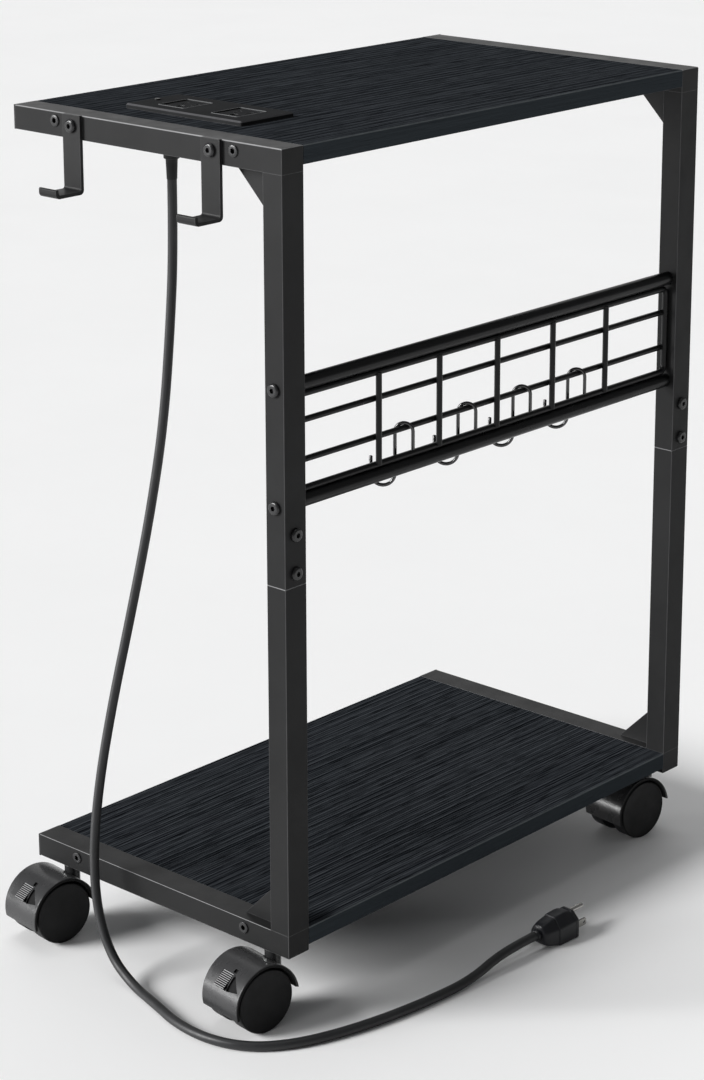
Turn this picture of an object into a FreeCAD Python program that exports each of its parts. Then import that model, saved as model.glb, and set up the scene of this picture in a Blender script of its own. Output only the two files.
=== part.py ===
"""Rolling two-shelf computer cart: a steel side frame, two boards, a guard grid with S-hooks,
headphone hooks, a power outlet with its mains cord, and four twin-wheel casters.

Axes: +X towards the side that has the posts and the guard grid, +Y towards the back, +Z up.
Everything is laid out about the middle of the steel frame, with the floor at Z = 0, and is
shifted once at the end so that the origin lies under the middle of the whole cart.
"""
import FreeCAD, Part
import math
import os
from FreeCAD import Placement, Rotation, Vector

os.makedirs("parts", exist_ok=True)

# ---------------------------------------------------------------- driving dimensions, mm
WIDTH = 300.0               # frame, across (X)
DEPTH = 530.0               # frame, front to back (Y)
FRAME_HEIGHT = 660.0        # underside of the lower rails to the top face
FLOOR_GAP = 62.0            # floor to the underside of the lower rails

TUBE_X = 20.0               # post size across
TUBE_Y = 24.0               # post and rail size front to back
RAIL_Z = 20.0               # rail height
WALL = 1.5                  # steel tube wall
RAIL_END = 2.0              # rail's closed end, on the posts' side
RAIL_EDGE = 1.2             # radius of a rail's two free long edges
RAIL_UNDER_EDGE = 0.5       # radius of the two long edges beside the posts
POST_EDGE = 0.8             # radius of a post's upright edges
SEAM_CHAMFER = 0.4          # edge of the two post halves where they meet
BOARD = 15.0                # shelf board thickness
BOARD_EDGE, BOARD_UNDER_EDGE = 1.5, 0.6
CAP_FLANGE = 2.0            # plastic cap on a rail's free end
CAP_REACH = 12.0            # how far the cap's spigot goes into the rail
CAP_WALL = 2.0
CAP_SLACK = 0.1
GUSSET_LEG = 37.0
GUSSET_THICKNESS = 3.0
GUSSET_NOSE = 1.0           # square end of each gusset tip

SEAM_HEIGHT = 313.7         # joint between the lower and the upper post, above the frame's underside
SLEEVE_BELOW = 40.0         # how far the inner sleeve reaches below the seam
SLEEVE_ABOVE = 55.0
SLEEVE_SCREWS = (10.8, 42.3)    # heights above the seam
SLEEVE_SLACK = 0.2

GRID_TUBE_R = 6.0
GRID_ROD_R = 2.75
GRID_WIRE_R = 2.5
GRID_LOW = 378.5            # centre height of the lower grid tube
GRID_HIGH = 472.5           # centre height of the upper grid tube
GRID_WIRE_OFFSET = 16.0     # long wires, above and below the grid's middle
GRID_CROSS_PITCH = 74.0     # spacing of the five cross wires
GRID_BEND = 6.0             # corner radius of the inner rods

S_HOOK_R = 1.5              # wire radius
S_HOOK_UPPER = 7.3          # bend radius of the upper loop, at the wire's centre
S_HOOK_LOWER = 9.75         # bend radius of the lower loop
S_HOOK_FREE_LEG, S_HOOK_SHANK, S_HOOK_TIP = 11.0, 35.5, 15.0    # straight lengths
S_HOOK_TURN = 40.0          # degrees, plane of the hook from +X towards +Y
S_HOOK_GAP = 0.15           # between the hook and the wire it hangs on
S_HOOK_Y = (-112.0, -33.0, 39.0, 114.0)

HOOK_X = 78.0               # headphone hooks, either side of the middle
HOOK_WIDTH = 20.0
HOOK_BAR = 3.0
HOOK_DROP = 63.5
HOOK_REACH = 30.0
HOOK_LIP = 7.5
HOOK_BEND = 2.0             # inside bend radius of the flat bar
HOOK_SCREW_DROP = 9.0

PLATE_X, PLATE_Y = 130.0, 60.0      # outlet faceplate
PLATE_THICK = 4.0
PLATE_BEVEL = 1.2
PLATE_CENTRE = (-4.0, -187.0)
CUTOUT_X, CUTOUT_Y = 125.0, 50.0    # hole for the outlet in the top shelf
CUTOUT_CORNER = 3.0
BOX_DEPTH = 27.0            # outlet box, below the shelf's top face
BOX_WALL = 2.0
BOX_SLACK = 0.3
FACE_X, FACE_Y = 28.6, 32.0         # one receptacle face
FACE_GAP = 0.2              # round the receptacle face
FACE_SINK = 0.8             # receptacle face below the plate's top
FACE_CENTRES = (-29.5, 30.3)        # X of the two receptacles
FACE_Y_CENTRE = -188.0
RECEPTACLE_DEPTH = 20.0
SLOT_DEPTH = 18.0
BLADE_SPACING, BLADE_SLOT, BLADE_LONG = 12.7, 2.0, 8.2
BLADE_OFFSET = 5.0          # blade slots behind the middle of the receptacle face
GROUND_DROP, GROUND_WIDE, GROUND_LONG = 11.9, 5.4, 6.6
SPRING = 0.5                # contact strip thickness
BUTTON_XY = (-60.5, -189.5)
BUTTON_R, BUTTON_HOLE_R = 2.4, 3.0
BUTTON_TRAVEL = 1.0
BUTTON_PROUD = 1.3          # reset button above the plate
BUTTON_BELOW = 4.0          # its lower end, below the shelf's top face
BREAKER_X, BREAKER_Y = 10.0, 18.0

CORD_R = 4.0
GLAND_XY = (-30.3, -204.0)
GLAND_LENGTH = 28.0
GLAND_NUT_R, GLAND_NUT = 6.6, 11.0      # the nut under the box floor
GLAND_CONE = (5.0, 4.4)     # tapered sleeve below the nut
GLAND_THREAD_R = 5.5
GLAND_THREAD = 6.0
PLUG_Z = 12.7               # centre of the plug's body above the floor
PLUG_TURN = -2.0            # degrees, way the plug points from +Y
PLUG_AT = (208.5, -22.0)
NECK, PLUG_LENGTH = 12.0, 33.0
NECK_RADII = (4.9, 7.0)
BLADE_THICK, BLADE_WIDE, BLADE_REACH = 1.5, 6.4, 16.0
BLADE_DROP = 4.5            # blades below the plug's middle
BLADE_HOLE_R, BLADE_HOLE_AT = 1.5, 12.5
GROUND_PIN_R, GROUND_PIN_REACH = 2.4, 18.5

STEM_X, STEM_Y = 120.5, 253.0       # caster stems, either side of the middle
STEM_R, COLLAR_R, COLLAR = 4.0, 6.75, 3.5
POST_STEM_R, POST_STEM = 5.0, 16.0  # threaded end inside the rail
SWIVEL = 7.0                # degrees, how far each caster has turned about its stem
TRAIL = 24.5                # stem axis to wheel axle
WHEEL_R = 27.0
WHEEL_IN, WHEEL_OUT = 6.8, 22.0     # a wheel's inner and outer face from the caster's middle
WHEEL_EDGE = 1.0
WHEEL_BORE = 18.5           # blind end of the axle's bore, from the caster's middle
AXLE_R = 3.0
AXLE_HALF = 18.0
HOOD_R = 31.5
HOOD_WALL = 2.5
HOOD_HALF = 22.5
HOOD_EDGE = 0.8
WEB_HALF = 5.5
FRONT_EDGE, TAIL_START, TAIL_MIDDLE, TAIL_TIP = 194.0, 60.0, 32.0, 4.0      # hood angles, degrees
TAIL_FLARE = 2.2            # how far the tail's tip stands out beyond the hood's radius
HOOD_GAP = 0.4              # between the hood and the stem's collar
LEVER_X = (-8.0, 5.0)
LEVER_TOP, LEVER_LOW = 129.5, 152.5
LEVER_OUT = 5.0             # lever's low edge beyond the hood's radius
LEVER_SLACK = 0.4
LEVER_RIBS, RIB_GROOVE, RIB_DEPTH = 8, 0.7, 0.6
PIVOT_R, PIVOT_PIN_R, PIVOT_REACH = 30.2, 0.9, 1.6
POCKET_DEPTH = 1.8          # three-sided hollow beside the lever
FIT = 0.05                  # radial clearance of a shaft in its hole

BUTTON_SHANK, BUTTON_HEAD, BUTTON_RISE = 3.0, 5.6, 3.0     # M6 button head screw
FLAT_SHANK, FLAT_HEAD, FLAT_RISE = 2.5, 5.0, 1.4           # M5 low head screw
SOCKET_SHARE, SOCKET_DEPTH = 0.42, 0.7                     # of the head's radius and of its height
SHELF_SCREW_X = 100.0       # either side of the middle
HOLE_SLACK = 0.2
INSERT_R, INSERT_LENGTH = 4.0, 20.0
NUT_R, NUT_LENGTH = 5.2, 5.0
STEM_NUT_R, STEM_NUT = 8.0, 8.0

# ---------------------------------------------------------------- levels worked out from them
BASE = FLOOR_GAP                        # underside of the frame
TOP = BASE + FRAME_HEIGHT
HX, HY = WIDTH / 2, DEPTH / 2
INNER_Y = HY - TUBE_Y                   # inside faces of the two end frames
POST_IN = HX - TUBE_X                   # inside face of the posts
POST_X = HX - TUBE_X / 2
TUBE_MID_Y = HY - TUBE_Y / 2
AXLE_Z = WHEEL_R

ENDS = (("front", -1), ("back", 1))
CORNERS = (("front_left", -1, -1), ("front_right", 1, -1), ("back_left", -1, 1), ("back_right", 1, 1))
SHELVES = (("top", TOP), ("bottom", BASE + RAIL_Z))
X, Y, Z = Vector(1, 0, 0), Vector(0, 1, 0), Vector(0, 0, 1)
TOUCH = 0.1                             # how near a point must be to a plane to count as on it

nodes = {}


# ---------------------------------------------------------------- helpers
def box(x0, x1, y0, y1, z0, z1):
    """A box between two opposite corners, given in any order."""
    low = Vector(min(x0, x1), min(y0, y1), min(z0, z1))
    return Part.makeBox(abs(x1 - x0), abs(y1 - y0), abs(z1 - z0), low)


def centred(centre_x, centre_y, size_x, size_y, z0, z1):
    return box(centre_x - size_x / 2, centre_x + size_x / 2,
               centre_y - size_y / 2, centre_y + size_y / 2, z0, z1)


def rod(start, end, radius):
    """A round bar between two points."""
    start, end = Vector(start), Vector(end)
    return Part.makeCylinder(radius, (end - start).Length, start, end - start)


def fuse(shapes):
    first, *rest = shapes
    return first.multiFuse(rest).removeSplitter() if rest else first


def near(value, target):
    return abs(value - target) < TOUCH


def edges_along(shape, axis, where=None):
    """The straight edges parallel to an axis, limited to those whose middle passes a test."""
    picked = []
    for edge in shape.Edges:
        if edge.Curve.TypeId != "Part::GeomLine":
            continue
        if abs(abs(edge.tangentAt(edge.FirstParameter).dot(axis)) - 1) > 1e-6:
            continue
        if where is None or where(edge.CenterOfMass):
            picked.append(edge)
    return picked


def rounded(shape, radius, axis, where=None):
    return shape.makeFillet(radius, edges_along(shape, axis, where))


def prism(points, axis, length):
    """A straight prism on a flat outline, pushed along an axis."""
    outline = Part.makePolygon([Vector(p) for p in points] + [Vector(points[0])])
    return Part.Face(outline).extrude(Vector(axis) * length)


def sweep(wire, radius):
    """A round bar along a smooth wire."""
    first = wire.OrderedEdges[0]
    start = first.valueAt(first.FirstParameter)
    tangent = first.tangentAt(first.FirstParameter)
    profile = Part.Wire(Part.makeCircle(radius, start, tangent))
    return wire.makePipeShell([profile], True, False)


def through(shape, start, end, radius):
    """The shape with a round hole from start to end."""
    return shape.cut(rod(start, end, radius))


# ---------------------------------------------------------------- screws and nuts
def screw(seat, direction, shank_r, shank_length, head_r, head_height, flat=False):
    """A socket screw. seat: where the head's underside sits; direction: the way the shank points."""
    head = Part.makeCylinder(head_r, head_height, Vector(0, 0, 0), -Z)
    crown = [e for e in head.Edges if near(e.CenterOfMass.z, -head_height) and e.Closed]
    if flat:
        head = head.makeChamfer(head_height * 0.45, crown)
    else:
        head = head.makeFillet(head_height * 0.62, crown)
    shank = Part.makeCylinder(shank_r, shank_length)
    socket_r = head_r * SOCKET_SHARE
    turns = [math.radians(60 * i) for i in range(6)]
    corners = [Vector(socket_r * math.cos(a), socket_r * math.sin(a), -head_height) for a in turns]
    socket = prism(corners, Z, head_height * SOCKET_DEPTH)
    body = fuse([head, shank]).cut(socket)
    body.Placement = Placement(Vector(seat), Rotation(Z, Vector(direction)))
    return body


def nut(start, direction, bore_r, outer_r, length):
    """A round threaded nut or insert around an axis."""
    start, direction = Vector(start), Vector(direction)
    end = start + direction * length
    return rod(start, end, outer_r).cut(rod(start - direction, end + direction, bore_r))


# ---------------------------------------------------------------- steel end frames
def tube_sides(sign, inset=0.0):
    """The front and back Y of an end frame's tube, drawn in by an inset."""
    low, high = sorted((sign * INNER_Y, sign * HY))
    return low + inset, high - inset


def rail(sign, top, upper):
    """A rail across one end: closed above or below its post, open at the free end for its cap."""
    low, high = tube_sides(sign)
    bottom = top - RAIL_Z
    free_z, post_z = (top, bottom) if upper else (bottom, top)
    run = box(-HX + CAP_FLANGE, POST_IN, low, high, bottom, top)
    run = rounded(run, RAIL_EDGE, X, lambda c: near(c.z, free_z))
    run = rounded(run, RAIL_UNDER_EDGE, X, lambda c: near(c.z, post_z))
    corner = box(POST_IN, HX, low, high, bottom, top)
    corner = rounded(corner, RAIL_EDGE, X, lambda c: near(c.z, free_z))
    corner = rounded(corner, POST_EDGE, Z, lambda c: near(c.x, HX))
    inner_low, inner_high = tube_sides(sign, WALL)
    hollow = box(-HX, HX - RAIL_END, inner_low, inner_high, bottom + WALL, top - WALL)
    return fuse([run, corner]).cut(hollow)


def post(sign, z0, z1, seam):
    """Half a post: a plain square tube with its outside edge eased at the seam."""
    outside = rounded(box(POST_IN, HX, *tube_sides(sign), z0, z1), POST_EDGE, Z)
    rim = [e for e in outside.Edges if near(e.BoundBox.ZMin, seam) and near(e.BoundBox.ZMax, seam)]
    outside = outside.makeChamfer(SEAM_CHAMFER, rim)
    return outside.cut(box(POST_IN + WALL, HX - WALL, *tube_sides(sign, WALL), z0, z1))


def gusset(sign, corner_z, towards):
    """A triangular plate in the corner between a post and a rail. towards: +1 up, -1 down."""
    y0 = sign * TUBE_MID_Y - GUSSET_THICKNESS / 2
    points = [(POST_IN, y0, corner_z), (POST_IN - GUSSET_LEG, y0, corner_z),
              (POST_IN - GUSSET_LEG, y0, corner_z + towards * GUSSET_NOSE),
              (POST_IN - GUSSET_NOSE, y0, corner_z + towards * GUSSET_LEG),
              (POST_IN, y0, corner_z + towards * GUSSET_LEG)]
    return prism(points, Y, GUSSET_THICKNESS)


def rail_cap(sign, top):
    """A plastic cap: a flange over the rail's end and a hollow spigot inside it."""
    bottom = top - RAIL_Z
    face_x, seat_x = -HX, -HX + CAP_FLANGE
    flange = box(face_x, seat_x, *tube_sides(sign), bottom, top)
    flange = flange.makeFillet(POST_EDGE, edges_along(flange, Y, lambda c: near(c.x, face_x))
                               + edges_along(flange, Z, lambda c: near(c.x, face_x)))
    inset = WALL + CAP_SLACK
    spigot = box(seat_x, seat_x + CAP_REACH, *tube_sides(sign, inset), bottom + inset, top - inset)
    inset = WALL + CAP_WALL
    hollow = box(seat_x + 1, seat_x + CAP_REACH + 1, *tube_sides(sign, inset), bottom + inset, top - inset)
    return fuse([flange, spigot]).cut(hollow)


def post_sleeve(sign):
    """A square sleeve inside both post halves."""
    outer, inner = WALL + SLEEVE_SLACK, 2 * WALL + SLEEVE_SLACK
    low, high = seam_z - SLEEVE_BELOW, seam_z + SLEEVE_ABOVE
    sleeve = box(POST_IN + outer, HX - outer, *tube_sides(sign, outer), low, high)
    return sleeve.cut(box(POST_IN + inner, HX - inner, *tube_sides(sign, inner), low, high))


hook_screw_z = TOP - HOOK_SCREW_DROP
grid_screw_z = (BASE + GRID_LOW, BASE + GRID_HIGH)
seam_z = BASE + SEAM_HEIGHT

rails, posts = {}, {}
gussets, caps, sleeves, weld_nuts = [], [], [], []
shelf_screws, sleeve_screws, grid_screws, inserts, stems = [], [], [], [], []

for end, sign in ENDS:
    face_y, inner_y = sign * HY, sign * INNER_Y
    for level, top in SHELVES:
        rails[end, level] = rail(sign, top, level == "top")
        caps.append(rail_cap(sign, top))
        corner = top - RAIL_Z if level == "top" else top
        gussets.append(gusset(sign, corner, -1 if level == "top" else 1))
        z = top - BOARD / 2
        for x in (-SHELF_SCREW_X, SHELF_SCREW_X):
            rails[end, level] = through(rails[end, level], (x, face_y + sign, z), (x, inner_y - sign, z),
                                        FLAT_SHANK + HOLE_SLACK)
            shelf_screws.append(screw((x, face_y, z), (0, -sign, 0), FLAT_SHANK,
                                      TUBE_Y + INSERT_LENGTH - 4, FLAT_HEAD, FLAT_RISE, flat=True))
            inserts.append(nut((x, inner_y, z), (0, -sign, 0), FLAT_SHANK + FIT, INSERT_R, INSERT_LENGTH))

    posts[end, "lower"] = post(sign, BASE + RAIL_Z, seam_z, seam_z)
    upper = post(sign, seam_z, TOP - RAIL_Z, seam_z)
    for z in grid_screw_z:
        upper = through(upper, (POST_X, face_y + sign, z), (POST_X, inner_y - sign, z),
                        BUTTON_SHANK + HOLE_SLACK)
        grid_screws.append(screw((POST_X, face_y, z), (0, -sign, 0), BUTTON_SHANK, TUBE_Y + 15,
                                 BUTTON_HEAD, BUTTON_RISE))

    sleeve = post_sleeve(sign)
    sleeve_inside_x = HX - 2 * WALL - SLEEVE_SLACK
    for rise in SLEEVE_SCREWS:
        y, z = sign * TUBE_MID_Y, seam_z + rise
        drill = rod((HX + 1, y, z), (sleeve_inside_x - 1, y, z), BUTTON_SHANK + HOLE_SLACK)
        upper, sleeve = upper.cut(drill), sleeve.cut(drill)
        sleeve_screws.append(screw((HX, y, z), (-1, 0, 0), BUTTON_SHANK, 10, BUTTON_HEAD, BUTTON_RISE))
        weld_nuts.append(nut((sleeve_inside_x, y, z), (-1, 0, 0), BUTTON_SHANK + FIT, NUT_R, NUT_LENGTH))
    posts[end, "upper"] = upper
    sleeves.append(sleeve)


# ---------------------------------------------------------------- headphone hooks
def headphone_hook(x):
    """A flat bar down the front rail's face, bent forward into a foot with a small lip."""
    y0 = -HY                        # back of the bar, on the rail's face
    x0 = x - HOOK_WIDTH / 2
    bottom = TOP - HOOK_DROP
    t = HOOK_BAR
    outline = [(x0, y0, TOP), (x0, y0, bottom), (x0, y0 - HOOK_REACH, bottom),
               (x0, y0 - HOOK_REACH, bottom + HOOK_LIP), (x0, y0 - HOOK_REACH + t, bottom + HOOK_LIP),
               (x0, y0 - HOOK_REACH + t, bottom + t), (x0, y0 - t, bottom + t), (x0, y0 - t, TOP)]
    bar = prism(outline, X, HOOK_WIDTH)
    bar = rounded(bar, HOOK_BEND + t - 1, X, lambda c: near(c.z, bottom))
    bar = rounded(bar, HOOK_BEND, X, lambda c: near(c.z, bottom + t))
    bar = rounded(bar, 1.2, X, lambda c: near(c.z, bottom + HOOK_LIP))
    bar = rounded(bar, 1.0, Y, lambda c: near(c.z, TOP))
    return through(bar, (x, y0 + 1, hook_screw_z), (x, y0 - t - 1, hook_screw_z), BUTTON_SHANK + HOLE_SLACK)


hook_screws = []
for side, x in (("left", -HOOK_X), ("right", HOOK_X)):
    nodes["headphone_hook_" + side] = [headphone_hook(x)]
    rails["front", "top"] = through(rails["front", "top"], (x, -HY - 1, hook_screw_z),
                                    (x, -HY + WALL + 1, hook_screw_z), BUTTON_SHANK + HOLE_SLACK)
    hook_screws.append(screw((x, -HY - HOOK_BAR, hook_screw_z), (0, 1, 0), BUTTON_SHANK, 11,
                             BUTTON_HEAD, BUTTON_RISE))
    weld_nuts.append(nut((x, -HY + WALL, hook_screw_z), (0, 1, 0), BUTTON_SHANK + FIT, NUT_R, NUT_LENGTH))

# ---------------------------------------------------------------- shelves
plate_x, plate_y = PLATE_CENTRE
for level, top in SHELVES:
    shelf = box(-HX, HX, -INNER_Y, INNER_Y, top - BOARD, top)
    shelf = rounded(shelf, BOARD_EDGE, Y, lambda c: near(c.z, top))
    shelf = rounded(shelf, BOARD_UNDER_EDGE, Y, lambda c: near(c.z, top - BOARD))
    z = top - BOARD / 2
    for end, sign in ENDS:
        for x in (-SHELF_SCREW_X, SHELF_SCREW_X):
            shelf = through(shelf, (x, sign * (INNER_Y + 1), z),
                            (x, sign * (INNER_Y - INSERT_LENGTH - 2), z), INSERT_R + FIT)
    if level == "top":
        cutout = centred(plate_x, plate_y, CUTOUT_X, CUTOUT_Y, top - BOARD - 1, top + 1)
        shelf = shelf.cut(rounded(cutout, CUTOUT_CORNER, Z))
    nodes[level + "_shelf"] = [shelf]

# ---------------------------------------------------------------- guard grid
grid_low_z, grid_high_z = grid_screw_z
grid_mid_z = (grid_low_z + grid_high_z) / 2
rod_y = INNER_Y - GRID_ROD_R            # the inner rods' upright legs lie against the posts
rod_low_z = grid_low_z + GRID_TUBE_R + GRID_ROD_R
rod_high_z = grid_high_z - GRID_TUBE_R - GRID_ROD_R
long_wire_x = POST_X - GRID_WIRE_R
cross_wire_x = POST_X + GRID_WIRE_R
wire_z = (grid_mid_z - GRID_WIRE_OFFSET, grid_mid_z + GRID_WIRE_OFFSET)


def grid_rod(z, inward):
    """A long inner rod whose ends turn the corner. inward: +1 bends up, -1 bends down."""
    b = GRID_BEND
    slant = b * (1 - math.sqrt(0.5))
    at = [Vector(POST_X, -rod_y, z + inward * b), Vector(POST_X, -rod_y + slant, z + inward * slant),
          Vector(POST_X, -rod_y + b, z), Vector(POST_X, rod_y - b, z),
          Vector(POST_X, rod_y - slant, z + inward * slant), Vector(POST_X, rod_y, z + inward * b)]
    path = Part.Wire([Part.Arc(at[0], at[1], at[2]).toShape(), Part.LineSegment(at[2], at[3]).toShape(),
                      Part.Arc(at[3], at[4], at[5]).toShape()])
    return sweep(path, GRID_ROD_R)


for name, z in (("lower", grid_low_z), ("upper", grid_high_z)):
    tube = rod((POST_X, -INNER_Y, z), (POST_X, INNER_Y, z), GRID_TUBE_R)
    bore = rod((POST_X, -INNER_Y - 1, z), (POST_X, INNER_Y + 1, z), GRID_TUBE_R - WALL)
    nodes["grid_tube_" + name] = [tube.cut(bore)]
    for end, sign in ENDS:
        inserts.append(nut((POST_X, sign * INNER_Y, z), (0, -sign, 0), BUTTON_SHANK + FIT,
                           GRID_TUBE_R - WALL - FIT, INSERT_LENGTH))

long_rods = [grid_rod(rod_low_z, 1), grid_rod(rod_high_z, -1)]
end_rods = [rod((POST_X, sign * rod_y, rod_low_z + GRID_BEND), (POST_X, sign * rod_y, rod_high_z - GRID_BEND),
                GRID_ROD_R) for end, sign in ENDS]
long_wires = [rod((long_wire_x, -rod_y, z), (long_wire_x, rod_y, z), GRID_WIRE_R) for z in wire_z]
cross_y = [i * GRID_CROSS_PITCH for i in (-2, -1, 0, 1, 2)]
cross_wires = [rod((cross_wire_x, y, rod_low_z), (cross_wire_x, y, rod_high_z), GRID_WIRE_R) for y in cross_y]
nodes["grid_inner_rods"] = long_rods + end_rods
nodes["grid_long_wires"] = [w.cut(end_rods[0]).cut(end_rods[1]) for w in long_wires]
nodes["grid_cross_wires"] = [w.cut(long_rods[0]).cut(long_rods[1]) for w in cross_wires]

# ---------------------------------------------------------------- S-hooks on the lower long wire
hook_top_z = wire_z[0] + GRID_WIRE_R + S_HOOK_GAP + S_HOOK_R
hook_upper_z = hook_top_z - S_HOOK_UPPER        # centre of the upper loop
hook_lower_z = hook_upper_z - S_HOOK_SHANK      # centre of the lower loop
hook_low_reach = -S_HOOK_UPPER - S_HOOK_LOWER   # its distance along the hook's plane


def s_hook(y):
    """Bent wire in one upright plane: a free leg, a loop over the grid wire, a shank and a J below."""
    turn = math.radians(S_HOOK_TURN)

    def at(along, z):
        return Vector(long_wire_x + along * math.cos(turn), y + along * math.sin(turn), z)

    upper, lower, reach = hook_upper_z, hook_lower_z, hook_low_reach
    path = Part.Wire([
        Part.LineSegment(at(S_HOOK_UPPER, upper - S_HOOK_FREE_LEG), at(S_HOOK_UPPER, upper)).toShape(),
        Part.Arc(at(S_HOOK_UPPER, upper), at(0, hook_top_z), at(-S_HOOK_UPPER, upper)).toShape(),
        Part.LineSegment(at(-S_HOOK_UPPER, upper), at(-S_HOOK_UPPER, lower)).toShape(),
        Part.Arc(at(-S_HOOK_UPPER, lower), at(reach, lower - S_HOOK_LOWER),
                 at(reach - S_HOOK_LOWER, lower)).toShape(),
        Part.LineSegment(at(reach - S_HOOK_LOWER, lower),
                         at(reach - S_HOOK_LOWER, lower + S_HOOK_TIP)).toShape()])
    return sweep(path, S_HOOK_R)


for i, y in enumerate(S_HOOK_Y, start=1):
    nodes["s_hook_%d" % i] = [s_hook(y)]

# ---------------------------------------------------------------- power outlet in the top shelf
plate_top = TOP + PLATE_THICK
box_floor = TOP - BOX_DEPTH
face_z = plate_top - FACE_SINK
button_x, button_y = BUTTON_XY
gland_x, gland_y = GLAND_XY

plate = rounded(centred(plate_x, plate_y, PLATE_X, PLATE_Y, TOP, plate_top), 2.0, Z)
plate = plate.makeChamfer(PLATE_BEVEL, [e for e in plate.Edges if near(e.CenterOfMass.z, plate_top)])
for x in FACE_CENTRES:
    plate = plate.cut(centred(x, FACE_Y_CENTRE, FACE_X + 2 * FACE_GAP, FACE_Y + 2 * FACE_GAP,
                              TOP - 1, plate_top + 1))
plate = through(plate, (button_x, button_y, TOP - 1), (button_x, button_y, plate_top + 1), BUTTON_HOLE_R)
nodes["outlet_faceplate"] = [plate]

box_x, box_y = CUTOUT_X - 2 * BOX_SLACK, CUTOUT_Y - 2 * BOX_SLACK
outlet_box = rounded(centred(plate_x, plate_y, box_x, box_y, box_floor, TOP), CUTOUT_CORNER - BOX_SLACK, Z)
outlet_box = outlet_box.cut(centred(plate_x, plate_y, box_x - 2 * BOX_WALL, box_y - 2 * BOX_WALL,
                                    box_floor + BOX_WALL, TOP))
nodes["outlet_box"] = [through(outlet_box, (gland_x, gland_y, box_floor - 1),
                               (gland_x, gland_y, box_floor + BOX_WALL + 1), GLAND_THREAD_R + FIT)]

blade_y = FACE_Y_CENTRE + BLADE_OFFSET
ground_y = blade_y - GROUND_DROP
ground_back = ground_y + GROUND_LONG / 2
ground_round_y = ground_y - GROUND_LONG / 2 + GROUND_WIDE / 2
slot_floor = face_z - SLOT_DEPTH
receptacles, contacts = [], []
for x in FACE_CENTRES:
    block = centred(x, FACE_Y_CENTRE, FACE_X, FACE_Y, face_z - RECEPTACLE_DEPTH, face_z)
    block = rounded(block, 1.0, Z)
    for side in (-1, 1):
        slot_x = x + side * BLADE_SPACING / 2
        block = block.cut(centred(slot_x, blade_y, BLADE_SLOT, BLADE_LONG, slot_floor, face_z + 1))
        wall_x = slot_x + side * BLADE_SLOT / 2
        contacts.append(box(wall_x, wall_x - side * SPRING, blade_y - 2.5, blade_y + 2.5,
                            slot_floor, face_z - 4))
    ground_r = GROUND_WIDE / 2
    ground_hole = fuse([rod((x, ground_round_y, slot_floor), (x, ground_round_y, face_z + 1), ground_r),
                        box(x - ground_r, x + ground_r, ground_round_y, ground_back, slot_floor, face_z + 1)])
    receptacles.append(block.cut(ground_hole))
    contacts.append(box(x - 2, x + 2, ground_back, ground_back - SPRING, slot_floor, face_z - 6))
nodes["receptacles"] = receptacles
nodes["receptacle_contacts"] = contacts

button_top = plate_top + BUTTON_PROUD
button = rod((button_x, button_y, TOP - BUTTON_BELOW), (button_x, button_y, button_top), BUTTON_R)
crown = [e for e in button.Edges if near(e.CenterOfMass.z, button_top) and e.Closed]
nodes["reset_button"] = [button.makeFillet(0.6, crown)]
inside_edge = plate_x - CUTOUT_X / 2 + BOX_SLACK + BOX_WALL
nodes["overload_breaker"] = [box(inside_edge, inside_edge + BREAKER_X, button_y - BREAKER_Y / 2,
                                 button_y + BREAKER_Y / 2, box_floor + BOX_WALL,
                                 TOP - BUTTON_BELOW - BUTTON_TRAVEL - 0.4)]

# ---------------------------------------------------------------- mains cord, its gland and plug
gland_end = box_floor - GLAND_LENGTH
nut_end = box_floor - GLAND_NUT
floor_z = CORD_R + 0.2          # centre of the cord where it lies on the floor

# the cord's route by hand: down from the gland, a swing out past the front rails, round the
# front right caster, then back along the cart's side to the plug
CORD_ROUTE = [
    (-30.3, -204.0, gland_end), (-30.3, -204.0, 612.0), (-30.8, -208.5, 548.0), (-33.5, -215.5, 466.0),
    (-40.5, -227.0, 386.0), (-48.0, -243.0, 306.0), (-55.0, -260.0, 230.0), (-58.5, -275.0, 160.0),
    (-55.5, -286.5, 102.0), (-45.0, -294.0, 55.0), (-25.0, -298.0, 20.0), (6.0, -302.0, floor_z),
    (43.0, -312.0, floor_z), (81.0, -324.0, floor_z), (120.0, -325.0, floor_z), (152.0, -312.0, floor_z),
    (174.0, -285.0, floor_z), (189.0, -248.0, floor_z), (200.0, -203.0, floor_z), (206.5, -157.0, floor_z),
    (209.5, -108.0, floor_z), (207.1, -62.0, PLUG_Z), (*PLUG_AT, PLUG_Z)]


def smooth_route(points):
    """Straight runs joined by tangent arcs as large as the two runs at each point allow."""
    points = [Vector(p) for p in points]
    edges, radii = [], []
    start = points[0]
    for before, here, after in zip(points, points[1:], points[2:]):
        run_in, run_out = here - before, after - here
        turn = run_in.getAngle(run_out)
        setback = 0.45 * min(run_in.Length, run_out.Length)
        radius = setback / math.tan(turn / 2)
        first = here - run_in.normalize() * setback
        last = here + run_out.normalize() * setback
        bisector = (first + last) * 0.5 - here
        centre_distance = math.hypot(radius, setback)
        middle = here + bisector.normalize() * (centre_distance - radius)
        edges.append(Part.LineSegment(start, first).toShape())
        edges.append(Part.Arc(first, middle, last).toShape())
        radii.append(radius)
        start = last
    edges.append(Part.LineSegment(start, points[-1]).toShape())
    return Part.Wire(edges), radii


def plug_part(shape):
    """Move a piece built along +Y from the cord's entry to where the plug lies."""
    shape.Placement = Placement(Vector(*PLUG_AT, PLUG_Z), Rotation(Z, PLUG_TURN))
    return shape


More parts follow.
